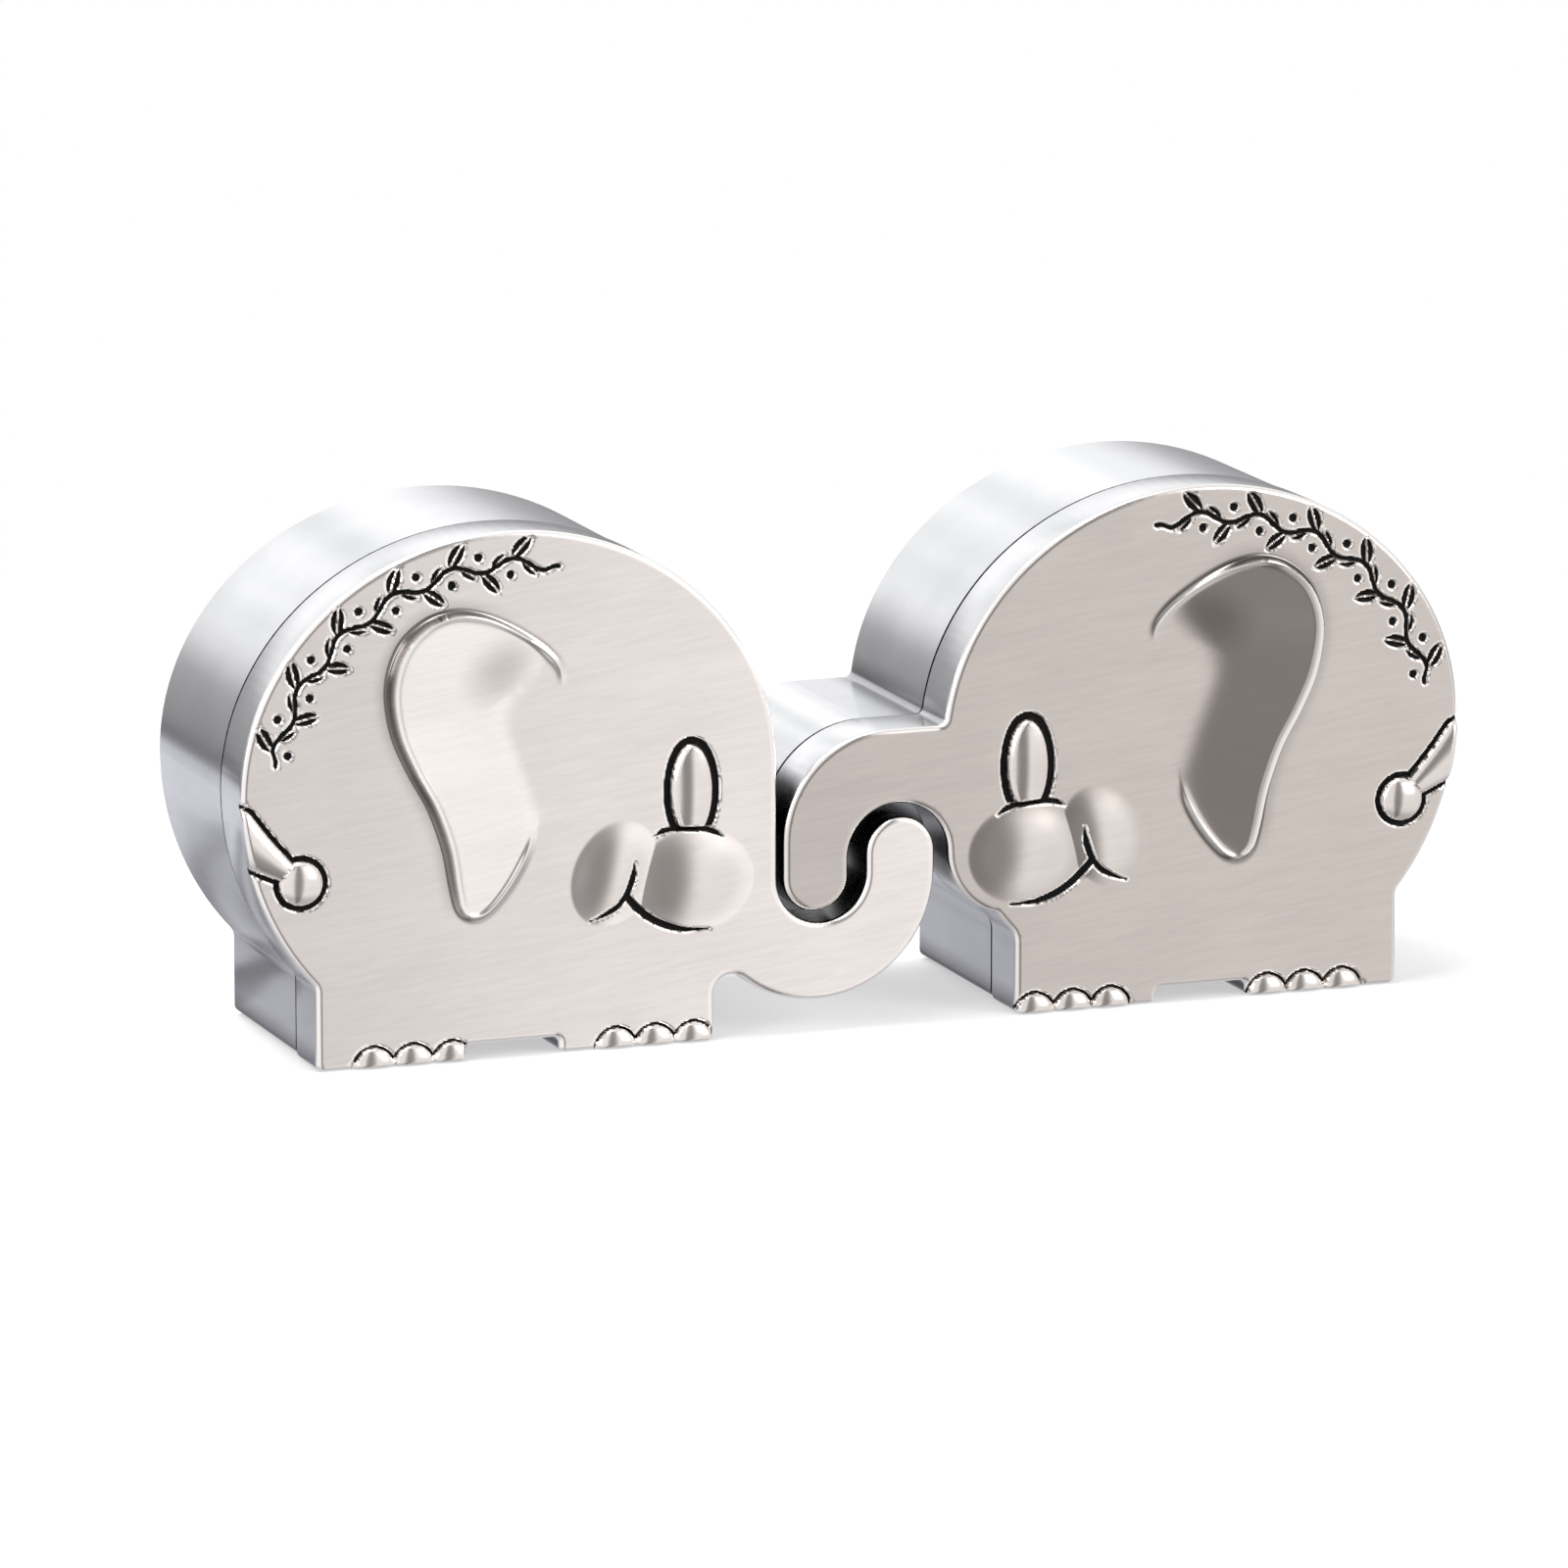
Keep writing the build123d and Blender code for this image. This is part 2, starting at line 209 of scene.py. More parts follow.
def makeStudio():
    group, nodes = newGroup("studioGlow")
    addSocket(group, "Direction", "NodeSocketVector", "INPUT")
    addSocket(group, "Color", "NodeSocketColor", "OUTPUT")
    given = nodes.add("NodeGroupInput").outputs
    out = nodes.add("NodeGroupOutput").inputs
    unit = nodes.vector("NORMALIZE", given["Direction"])["Vector"]
    x, y, z = nodes.split(unit)
    turn = nodes.math("ARCTAN2", x, nodes.math("MULTIPLY", y, -1.0))
    front = nodes.add("ShaderNodeVectorMath", operation="SCALE")
    nodes.join(nodes.ramp(turn, -math.pi, math.pi, studio["frontStops"]), front.inputs[0])
    nodes.join(nodes.remap(z, *studio["lowFade"], studio["lowLevel"], 1.0), front.inputs["Scale"])
    patches = nodes.remap(nodes.noise(unit, *studio["patchNoise"]), *studio["patchEdge"])
    patches = nodes.math("MULTIPLY", patches, nodes.remap(z, *studio["patchHeight"]))
    back = nodes.mixColor(patches, nodes.ramp(z, -1.0, 1.0, studio["backStops"]), studio["patchColor"])
    behind = nodes.remap(y, *studio["backFrom"])
    nodes.join(nodes.mixColor(behind, front.outputs[0], back), out["Color"])
    return group


brushing = makeBrushing()
studioGlow = makeStudio()


def newMaterial(name):
    material = bpy.data.materials.new(name)
    material.use_nodes = True
    nodes = Nodes(material.node_tree)
    return material, nodes, material.node_tree.nodes["Principled BSDF"]


def placeGroup(nodes, group, vector, **values):
    node = nodes.add("ShaderNodeGroup", node_tree=group)
    nodes.join(vector, node.inputs["Vector"])
    for name, value in values.items():
        node.inputs[name].default_value = value
    return node.outputs


def joinSurface(nodes, shader, base, rough, height, bump):
    nodes.join(base, shader.inputs["Base Color"])
    nodes.join(rough, shader.inputs["Roughness"])
    nodes.join(nodes.bump(height, *bump), shader.inputs["Normal"])


# A mask's numbers are from and to, and then its values there where they aren't 0 and 1
pewter = {
    # Painted light and shade: both boxes are one pewter, painted lighter on the tooth and darker on the
    # curl for how each face catches the light; raised shapes lean to one shared tone
    "face": {"tooth": (0.96, 0.90, 0.875, 1.0), "curl": (0.635, 0.578, 0.544, 1.0)},
    "raised": (0.80, 0.745, 0.715, 1.0),
    "raisedShare": 0.8,
    # Wear and painted highlight: the ear rim's bright line and the cover's front edge
    "wearAndHighlight": (0.92, 0.90, 0.885, 1.0),
    "wearAndHighlightShare": 0.9,
    # Dark wash for the brushing's streaks and clouds, and for patina and painted shade round the ear
    "washAndShade": (0.095, 0.087, 0.082, 1.0),
    "ink": (0.014, 0.013, 0.013, 1.0),
    "scratches": (250.0, 500.0, 2500.0),
    "scratchTurn": math.radians(8.0),
    "raggedNoise": (2500.0, 2.0),
    "ragged": 0.10,
    "filled": (0.0, 0.10, 1.0, 0.0),
    "bevelHighlightStart": (0.04, 0.14),  # bright edge beside a filled line, in millimetres from it: burnished metal and a painted highlight
    "bevelHighlightEnd": (0.16, 0.34, 1.0, 0.0),
    "bevelHighlightShare": 0.8,
    "patinaAndShadeCloud": (0.2, 0.8, 0.82, 1.0),
    "streak": (0.3, 0.7, 0.0, 0.06),
    "cloud": (0.3, 0.7, 0.0, 0.04),
    "roughness": 0.165,
    "lineRoughness": 0.05,
    "inkRoughness": 0.4,
    "bump": (0.25, 0.00002),  # strength, metres
}


def makePewter(name):
    material, nodes, shader = newMaterial(name + "Pewter")
    where = nodes.add("ShaderNodeTexCoord").outputs["Object"]
    marks = placeGroup(nodes, brushing, where, Along=pewter["scratches"], Turn=pewter["scratchTurn"])
    ink, wearAndHighlight = nodes.attribute("ink"), nodes.attribute("wearAndHighlight")
    ragged = nodes.math("MULTIPLY_ADD", nodes.noise(where, *pewter["raggedNoise"]), pewter["ragged"], ink)
    filled = nodes.remap(ragged, *pewter["filled"])
    # Painted highlight, with burnished metal, on the edge beside each filled line
    nearLine, offLine = nodes.remap(ink, *pewter["bevelHighlightEnd"]), nodes.remap(ink, *pewter["bevelHighlightStart"])
    bevelHighlight = nodes.math("MULTIPLY", nodes.math("MULTIPLY", offLine, nearLine), pewter["bevelHighlightShare"])
    bright = nodes.math("MAXIMUM", bevelHighlight, nodes.math("MULTIPLY", wearAndHighlight, pewter["wearAndHighlightShare"]))
    # Patina and painted shade round the ear, broken up by the cloud
    patinaAndShadeMix = nodes.remap(marks["Cloud"], *pewter["patinaAndShadeCloud"])
    patinaAndShadeMix = nodes.math("MULTIPLY", nodes.attribute("patinaAndShade"), patinaAndShadeMix)
    raised = nodes.math("MULTIPLY", nodes.attribute("dome"), pewter["raisedShare"])
    cloud = nodes.remap(marks["Cloud"], *pewter["cloud"])
    streak = nodes.remap(marks["Lines"], *pewter["streak"])
    # Painted light and shade: this box's own face tone, lighter on the tooth and darker on the curl
    base = nodes.mixColor(raised, pewter["face"][name], pewter["raised"])
    base = nodes.mixColor(nodes.math("ADD", cloud, streak), base, pewter["washAndShade"])
    base = nodes.mixColor(bright, base, pewter["wearAndHighlight"])
    base = nodes.mixColor(patinaAndShadeMix, base, pewter["washAndShade"])
    base = nodes.mixColor(filled, base, pewter["ink"])
    rough = nodes.math("MULTIPLY_ADD", marks["Lines"], pewter["lineRoughness"], pewter["roughness"])
    rough = nodes.math("MULTIPLY_ADD", filled, pewter["inkRoughness"], rough)
    shader.inputs["Metallic"].default_value = 1.0
    joinSurface(nodes, shader, base, rough, marks["Lines"], pewter["bump"])
    return material


nickel = {
    "bright": (0.86, 0.86, 0.87, 1.0),
    "hollowShade": (0.70, 0.70, 0.72, 1.0),
    "tarnish": (0.35, 0.75, 0.0, 0.5),
    "lineTarnish": 0.3,
    "scratches": (900.0, 60.0, 900.0),
    "occlusionShade": (0.02, 0.02, 0.022, 1.0),
    "occlusionShadeReach": 0.003,
    "occlusionShadeRange": (0.55, 1.0),
    "roughness": 0.10,
    "lineRoughness": 0.08,
    "cloudRoughness": 0.06,
    "bump": (0.12, 0.00003),
}


def makeNickel():
    material, nodes, shader = newMaterial("polishedNickel")
    where = nodes.add("ShaderNodeTexCoord").outputs["Object"]
    marks = placeGroup(nodes, brushing, where, Along=nickel["scratches"])
    tarnish = nodes.remap(marks["Cloud"], *nickel["tarnish"])
    tarnish = nodes.math("MULTIPLY_ADD", marks["Lines"], nickel["lineTarnish"], tarnish)
    tint = nodes.mixColor(tarnish, nickel["bright"], nickel["hollowShade"])
    # Painted shade: ambient occlusion darkens the base colour in slots, seams and corners and near the
    # table
    occlusionShade = nodes.add("ShaderNodeAmbientOcclusion", samples=8)
    occlusionShade.inputs["Distance"].default_value = nickel["occlusionShadeReach"]
    lit = nodes.remap(occlusionShade.outputs["AO"], *nickel["occlusionShadeRange"], smooth=False)
    base = nodes.mixColor(lit, nickel["occlusionShade"], tint)
    rough = nodes.math("MULTIPLY_ADD", marks["Lines"], nickel["lineRoughness"], nickel["roughness"])
    rough = nodes.math("MULTIPLY_ADD", marks["Cloud"], nickel["cloudRoughness"], rough)
    shader.inputs["Metallic"].default_value = 1.0
    joinSurface(nodes, shader, base, rough, marks["Lines"], nickel["bump"])
    return material


velvet = {
    "pile": (0.018, 0.035, 0.16, 1.0),
    "tips": (0.05, 0.09, 0.30, 1.0),
    "pileNoise": (5200.0, 2.0, 0.7),
    "napNoise": (160.0, 3.0, 0.55),
    "pileTips": 0.55,
    "napTips": (0.35, 0.7, 0.0, 0.6),
    "roughness": (0.2, 0.8, 0.75, 0.95),
    "sheen": 0.7,
    "sheenRoughness": 0.35,
    "sheenTint": (0.45, 0.55, 1.0, 1.0),
    "napHeight": 0.6,
    "bump": (0.7, 0.00015),
}


def makeVelvet():
    material, nodes, shader = newMaterial("navyVelvet")
    where = nodes.add("ShaderNodeTexCoord").outputs["Object"]
    pile = nodes.noise(where, *velvet["pileNoise"])
    nap = nodes.noise(where, *velvet["napNoise"])
    tips = nodes.math("MULTIPLY_ADD", pile, velvet["pileTips"], nodes.remap(nap, *velvet["napTips"]))
    base = nodes.mixColor(tips, velvet["pile"], velvet["tips"])
    height = nodes.math("MULTIPLY_ADD", nap, velvet["napHeight"], pile)
    shader.inputs["Sheen Weight"].default_value = velvet["sheen"]
    shader.inputs["Sheen Roughness"].default_value = velvet["sheenRoughness"]
    shader.inputs["Sheen Tint"].default_value = velvet["sheenTint"]
    joinSurface(nodes, shader, base, nodes.remap(pile, *velvet["roughness"]), height, velvet["bump"])
    return material


pewterFinish = {name: makePewter(name) for name in boxes}
nickelFinish = makeNickel()
velvetFinish = makeVelvet()
print("materials made")


def smooth(low, high, value):
    share = np.clip((value - low) / (high - low), 0.0, 1.0)
    return share * share * (3 - 2 * share)


def hump(value, middle, width):
    return np.exp(-(((value - middle) / width) ** 2))


def dome(out):
    # Round rise that is 1 in the middle and 0 from the edge, where out is 1
    return np.sqrt(np.maximum(1 - out**2, 0))


def lineOutside(edge, width):
    # Distance to a line drawn just outside an edge, negative in the line
    return np.abs(edge - width / 2) - width / 2


def curveThrough(points, steps=8):
    # Catmull-Rom curve through the points
    given = np.array(points, float)
    padded = np.vstack([2 * given[0] - given[1], given, 2 * given[-1] - given[-2]])
    t = np.arange(steps)[:, None] / steps
    out = []
    for a, b, c, d in zip(padded, padded[1:], padded[2:], padded[3:]):
        bend = (2 * a - 5 * b + 4 * c - d) * t**2
        out.append(0.5 * (2 * b + (c - a) * t + bend + (3 * b - a - 3 * c + d) * t**3))
    return np.vstack([*out, given[-1:]])


def evenSteps(line, step, closed=False):
    # The same line with its points at equal steps
    given = np.vstack([line, line[:1]]) if closed else line
    lengths = np.concatenate([[0], np.cumsum(np.linalg.norm(np.diff(given, axis=0), axis=1))])
    places = np.linspace(0, lengths[-1], int(lengths[-1] / step), endpoint=not closed)
    return np.column_stack([np.interp(places, lengths, column) for column in given.T])


def leftOf(tangent):
    # Unit directions a quarter turn to the left, which point into an anticlockwise loop
    turned = np.column_stack([-tangent[:, 1], tangent[:, 0]])
    return turned / np.linalg.norm(turned, axis=1)[:, None]


def runsAnticlockwise(loop):
    x, z = loop.T
    return (x * np.roll(z, -1) - np.roll(x, -1) * z).sum() > 0


def nearestOnPath(points, path, closed=False, batch=4000):
    # Distance to a path, the place along it from 0 to 1, and the side it lies on
    start = path if closed else path[:-1]
    end = np.roll(path, -1, axis=0) if closed else path[1:]
    step = end - start
    length = np.linalg.norm(step, axis=1)
    before = np.concatenate([[0], np.cumsum(length)[:-1]])
    found = np.empty((3, len(points)))
    for first in range(0, len(points), batch):
        part = points[first:first + batch]
        rel = part[:, None, :] - start[None]
        t = np.clip((rel * step).sum(2) / np.maximum(length**2, 1e-12), 0, 1)
        off = rel - t[..., None] * step
        gap = (off**2).sum(2)
        best = gap.argmin(1)
        row = np.arange(len(part))
        cross = step[best, 0] * off[row, best, 1] - step[best, 1] * off[row, best, 0]
        found[0, first:first + batch] = np.sqrt(gap[row, best])
        found[1, first:first + batch] = (before[best] + t[row, best] * length[best]) / length.sum()
        found[2, first:first + batch] = np.where(cross >= 0, 1.0, -1.0)
    return found


def insidePolygon(points, path):
    x, y = points[:, 0], points[:, 1]
    inside = np.zeros(len(points), bool)
    for (ax, ay), (bx, by) in zip(path, np.roll(path, -1, axis=0)):
        crossing = (ay > y) != (by > y)
        if by != ay:
            inside ^= crossing & (x < (bx - ax) * (y - ay) / (by - ay) + ax)
    return inside


def strokeDistance(points, line, halfWidth, taper=(0.15, 0.15)):
    # Distance to the edge of a stroke, negative inside it; its ends taper to a quarter of its width
    distance, along, _ = nearestOnPath(points, curveThrough(line))
    ends = smooth(0.0, taper[0], along) * smooth(0.0, taper[1], 1 - along)
    return distance - halfWidth * (0.25 + 0.75 * ends)


def ovalReach(points, middle, half, tilt=0.0):
    # How far out a point lies, 1 at the oval's edge, and its distance from that edge
    angle = math.radians(tilt)
    du, dv = points[:, 0] - middle[0], points[:, 1] - middle[1]
    across = du * math.cos(angle) - dv * math.sin(angle)
    length = du * math.sin(angle) + dv * math.cos(angle)
    out = np.hypot(across / half[0], length / half[1])
    steep = np.hypot(across / half[0] ** 2, length / half[1] ** 2)
    return out, out * (out - 1) / np.maximum(steep, 1e-6)


# Both elephants share one relief, in millimetres forward (u) from the body's middle, up (v) from
# the table and proud of the face
ear = {
    "rim": [  # from the front end over the top and down behind to the tip, then up in front
        (5.1, 35.2), (4.9, 37.0), (3.6, 38.6), (1.8, 40.0), (-0.8, 41.5), (-3.4, 42.5), (-6.0, 42.75),
        (-8.5, 41.9), (-10.7, 39.8), (-11.8, 36.3), (-11.3, 32.1), (-9.7, 28.3), (-7.7, 24.6),
        (-6.3, 20.6), (-5.6, 16.8), (-5.0, 14.6), (-3.9, 13.8), (-2.6, 14.1), (-1.2, 15.4),
        (0.3, 17.4), (1.6, 19.8), (2.3, 22.0),
    ],
    "step": 0.30,
    "ends": 0.07,  # share of the rim's length over which each end dies away
    "valley": [  # height above the feet, and how far forward the hollow starts there
        (13.0, -4.2), (13.8, -3.7), (15.4, -1.6), (17.4, -0.3), (19.8, 0.8), (22.0, 1.2), (24.2, 0.6),
        (26.6, -0.2), (29.2, -1.2), (31.8, -2.0), (33.8, -1.6), (35.6, -0.1), (37.4, 1.5), (39.2, 2.2),
        (44.0, 2.4),
    ],
    "valleySoft": 1.5,
    "valleyLead": 0.4,
    "slope": (0.135, 0.105),  # rise of the hollow below and above the top's start
    "topStart": (30.5, 37.0),
    "wall": (0.35, 0.2),  # width of the outer slope, and how much it grows with the rim's height
    "wallCurve": 2.4,
    "bead": 0.16,
    "beadHalf": 0.30,
    "wearAndHighlightHalf": 0.27,
    "shoulder": 0.10,
    "shoulderWidth": 0.7,
    "tall": (0.2, 0.8),  # rim heights between which the patina and painted shade beside it grow
    "foot": (0.05, 0.14, 0.54, 0.88),  # dark line outside the rim, patina at the wall's foot and painted shade: starts, full, last full, gone
    "footLow": 0.65,
    "shade": (2.0, 0.5),
    "shadeDepth": 0.31,
    "crease": (0.50, 0.12),
    "creaseDepth": 0.40,
    # Painted shade: a soft grey cloud in the hollow's upper front
    "cloud": {"middle": (-0.9, 37.3), "half": (4.6, 3.2), "tilt": -28.0},
    "shadeCloudEdge": (1.25, 0.1),
    "shadeCloudDepth": 0.40,
    "shadeCloudGap": 1.0,
    "rows": (-1.36, -1.15, -0.96, -0.78, -0.62, -0.47, -0.34, -0.22, -0.11, 0.0,
             0.11, 0.22, 0.34, 0.48, 0.64, 0.84, 1.08, 1.36),
    "rowStep": 0.12,
    "rowSlip": 0.03,
}


def earSurface(points):
    # Hollow that starts softly at the valley and rises evenly backwards
    u, v = points[:, 0], points[:, 1]
    valleyV, valleyU = curveThrough(ear["valley"]).T
    past = np.interp(v, valleyV, valleyU) + ear["valleyLead"] - u
    low, high = ear["slope"]
    slope = low + (high - low) * smooth(*ear["topStart"], v)
    soft = ear["valleySoft"]
    return slope * np.where(past > soft, past, np.clip(past + soft, 0, None) ** 2 / (4 * soft))


def earHeight(points):
    # The hollow inside the rim, a bead on it and a slope down to the face outside it
    rim = evenSteps(curveThrough(ear["rim"]), ear["step"])
    distance, along, _ = nearestOnPath(points, rim)
    within = insidePolygon(points, rim)
    tall = np.interp(along, np.linspace(0, 1, len(rim)), earSurface(rim))
    lip = smooth(0.0, ear["ends"], along) * smooth(0.0, ear["ends"], 1 - along)
    shoulder = ear["shoulder"] * lip * np.clip(tall, 0, 1)
    inner = earSurface(points) + shoulder * (1 - smooth(0.0, ear["shoulderWidth"], distance))
    wall = ear["wall"][0] + ear["wall"][1] * np.abs(tall)
    outer = (tall + shoulder) * np.clip(1 - distance / wall, 0, 1) ** ear["wallCurve"]
    height = np.where(within, inner, outer) + ear["bead"] * lip * hump(distance, 0.0, ear["beadHalf"])
    # Round the rim: a dark line at its foot, patina and painted shade; soft painted shade outside it;
    # patina in the inner crease; painted shade in the hollow's cloud
    high = smooth(*ear["tall"], tall)
    near, full, last, gone = ear["foot"]
    line = smooth(near, full, distance) * smooth(gone, last, distance)
    line = line * (ear["footLow"] + (1 - ear["footLow"]) * high)
    shade = ear["shadeDepth"] * high * smooth(*ear["shade"], distance) * smooth(0.0, near, distance)
    crease = ear["creaseDepth"] * high * hump(distance, *ear["crease"])
    reach, _ = ovalReach(points, **ear["cloud"])
    hollowShade = ear["shadeCloudDepth"] * smooth(*ear["shadeCloudEdge"], reach) * smooth(0.0, ear["shadeCloudGap"], distance)
    patinaAndShade = np.where(within, np.maximum(crease, hollowShade), np.maximum(line, shade)) * lip
    # Wear and a painted highlight along the rim's bead
    return height, patinaAndShade, hump(distance, 0.0, ear["wearAndHighlightHalf"]) * lip


def earRows():
    # Rows of points that follow the rim, so that its bead stays even
    path = evenSteps(curveThrough(ear["rim"]), ear["rowStep"])
    inward = leftOf(np.gradient(path, axis=0))
    rows = np.vstack([path + inward * row for row in ear["rows"]])
    depths = np.repeat(ear["rows"], len(path))
    distance = nearestOnPath(rows, path)[0]
    return rows[np.abs(distance - np.abs(depths)) < ear["rowSlip"]], path


eye = {
    "middle": (18.0, 24.35),
    "half": (2.1, 4.5),
    "bulge": 0.36,
    "rise": 0.42,
    "riseEdge": (0.06, -0.38),
    "foot": 20.85,
    "footSoft": 0.12,
    "moat": 0.66,
    "lid": [(14.2, 20.2), (15.5, 20.7), (17.8, 20.75), (19.8, 20.4), (21.1, 19.7)],
    "lidHalf": 0.24,
}


def eyeHeight(points):
    out, edge = ovalReach(points, eye["middle"], eye["half"])
    height = eye["rise"] * smooth(*eye["riseEdge"], edge) + eye["bulge"] * np.maximum(1 - out**2, 0)
    above = smooth(eye["foot"] - eye["footSoft"], eye["foot"] + eye["footSoft"], points[:, 1])
    moat = np.maximum(lineOutside(edge, eye["moat"]), eye["foot"] - points[:, 1])
    return height * above, np.minimum(moat, strokeDistance(points, eye["lid"], eye["lidHalf"]))


cheeks = {
    "near": {"middle": (18.2, 15.75), "half": (5.9, 5.0)},
    "nearBulge": 0.56,
    "nearTop": (20.9, 20.2),  # the near cheek ends below the eye
    "far": {"middle": (10.2, 16.9), "half": (4.0, 5.3), "tilt": 27.0},
    "farBulge": 0.44,
    "softness": 1.35,
}


def cheekHeight(points):
    near, far = (np.maximum(1 - ovalReach(points, **cheeks[key])[0] ** 2, 0) for key in ("near", "far"))
    nearRise = cheeks["nearBulge"] * near ** cheeks["softness"] * smooth(*cheeks["nearTop"], points[:, 1])
    return np.maximum(nearRise, cheeks["farBulge"] * far ** cheeks["softness"])


blunt = 0.0001  # a taper too short to show, where the strokes meet
smile = {
    "inner": {
        "line": [(12.2, 18.0), (12.1, 16.8), (11.75, 15.6), (11.35, 14.7)],
        "halfWidth": 0.306,
        "taper": (0.5, blunt),
    },
    "forward": {
        "line": [(11.35, 14.7), (12.3, 13.6), (13.7, 12.4), (15.4, 11.5), (17.4, 10.95), (19.7, 10.9)],
        "halfWidth": 0.34,
        "taper": (blunt, 0.5),
    },
    "rear": {
        "line": [(11.35, 14.7), (10.5, 13.7), (9.5, 13.1), (8.6, 12.7), (7.8, 12.45)],
        "halfWidth": 0.255,
        "taper": (blunt, 0.6),
    },
}


def smileDistance(points):
    return np.minimum.reduce([strokeDistance(points, **stroke) for stroke in smile.values()])


tail = {
    "ball": (-20.8, 18.25),
    "radius": 2.15,
    "bulge": 0.9,
    "moat": 0.5,
    "stem": [(-21.0, 18.6), (-23.2, 20.15), (-25.3, 21.75), (-27.2, 23.4)],
    "stemHalf": (0.75, 2.4),
    "stemBulge": 0.6,
    "stemStart": -0.2,  # from just under the ball's edge
    "stemLine": 0.42,
    "stemLineStart": 0.3,
}


def tailHeight(points):
    out, ring = ovalReach(points, tail["ball"], (tail["radius"],) * 2)
    distance, along, _ = nearestOnPath(points, curveThrough(tail["stem"]))
    half = tail["stemHalf"][0] + (tail["stemHalf"][1] - tail["stemHalf"][0]) * along
    edge = distance - half
    stalk = tail["stemBulge"] * dome(distance / half) * (ring > tail["stemStart"])
    moat = np.where(edge < 0, farOff, lineOutside(ring, tail["moat"]))
    beside = np.where(ring < tail["stemLineStart"], farOff, lineOutside(edge, tail["stemLine"]))
    return np.maximum(tail["bulge"] * dome(out), stalk), np.minimum(moat, beside)


nails = {
    "count": 3,
    "half": 1.93,
    "height": 1.9,
    "pitch": 3.9,
    "bulge": 0.6,
    "ends": (19.6, -4.5),  # front of the fore foot and of the hind foot
    "line": 0.26,
    "lineBelow": 0.02,
}


def nailHeight(points, footLead):
    height = np.zeros(len(points))
    line = np.full(len(points), farOff)
    for end in nails["ends"]:
        for k in range(nails["count"]):
            middle = (end + footLead - nails["half"] - k * nails["pitch"], 0.0)
            out, edge = ovalReach(points, middle, (nails["half"], nails["height"]))
            height = np.maximum(height, nails["bulge"] * dome(out))
            line = np.minimum(line, lineOutside(edge, nails["line"]))
    return height, np.where(height > nails["lineBelow"], farOff, line)


vine = {
    "middle": 26.3,  # of the arc, which runs just inside the body's crown
    "half": (23.45, 20.95),
    "turns": (9.0, 102.0),
    "samples": 90,
    "pitch": 3.05,
    "swing": 0.55,
    "ends": 1.5,
    "stemHalf": 0.22,
    "stemLean": 0.9,
    "leaves": [  # start from the crest of the swing, side, lean, length, half width
        (-0.25, 1, 50.0, 1.4, 0.62),
        (0.75, -1, 40.0, 1.1, 0.48),
    ],
    "rib": 0.12,
    "berry": 0.40,
    "berryPlace": (-0.35, 1.0),
}


def vineDistance(points):
    # Running vine with leaves and berries, laid along the crown
    turns = np.radians(np.linspace(*vine["turns"], vine["samples"]))
    halfU, halfV = vine["half"]
    path = np.column_stack([-halfU * np.cos(turns), vine["middle"] + halfV * np.sin(turns)])
    length = np.linalg.norm(np.diff(path, axis=0), axis=1).sum()
    distance, along, side = nearestOnPath(points, path)
    s, t = along * length, distance * side
    fade = smooth(0, vine["ends"], s) * smooth(0, vine["ends"], length - s)
    swing = vine["swing"] * np.sin(math.pi * s / vine["pitch"]) * fade
    best = (np.abs(t - swing) - vine["stemHalf"]) * vine["stemLean"]
    best = np.where((along <= 0) | (along >= 1), distance - vine["stemHalf"], best)
    for k in range(int(length / vine["pitch"])):
        crest = (k + 0.5) * vine["pitch"]
        way = 1 if k % 2 == 0 else -1
        for start, leafSide, lean, leafLength, leafHalf in vine["leaves"]:
            radius = (leafLength**2 + leafHalf**2) / (2 * leafHalf)
            foot = vine["swing"] * math.cos(math.pi * start / vine["pitch"]) * way
            angle = math.radians(lean) * way * leafSide
            ds = s - crest - start - leafLength * math.cos(angle)
            dt = t - foot - leafLength * math.sin(angle)
            a = dt * math.cos(angle) - ds * math.sin(angle)
            b = ds * math.cos(angle) + dt * math.sin(angle)
            blade = np.hypot(b, np.abs(a) + radius - leafHalf) - radius
            best = np.minimum(best, np.maximum(blade, vine["rib"] - np.abs(a)))
        berryAlong, berryOff = vine["berryPlace"]
        berry = np.hypot(s - crest - berryAlong, t + way * berryOff) - vine["berry"]
        best = np.minimum(best, berry)
    return best


lines = {
    "depth": 0.30,  # every filled line is cut this deep
    "edge": (0.10, -0.12),
    "raisedFrom": (0.0, 0.3),
}


def relief(points, footLead):
    # A row each for height over the face, distance to a filled line, patina and painted shade, wear and
    # painted highlight, and raised shapes
    points = np.asarray(points, float)
    earRise, patinaAndShade, wearAndHighlight = earHeight(points)
    eyeRise, eyeInk = eyeHeight(points)
    tailRise, tailInk = tailHeight(points)
    nailRise, nailInk = nailHeight(points, footLead)
    raised = np.maximum.reduce([eyeRise, cheekHeight(points), tailRise, nailRise])
    ink = np.minimum.reduce([eyeInk, tailInk, nailInk, smileDistance(points), vineDistance(points)])
    height = np.maximum(earRise, raised) - lines["depth"] * smooth(*lines["edge"], ink)
    return np.array([height, np.clip(ink, -1, 1), patinaAndShade, wearAndHighlight, smooth(*lines["raisedFrom"], raised)])


def cadMesh(node):
    # Working copy of a frame node, with its corners joined
    mesh = bmesh.new()
    mesh.from_mesh(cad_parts[node].data)
    bmesh.ops.remove_doubles(mesh, verts=mesh.verts, dist=1e-6)
    return mesh


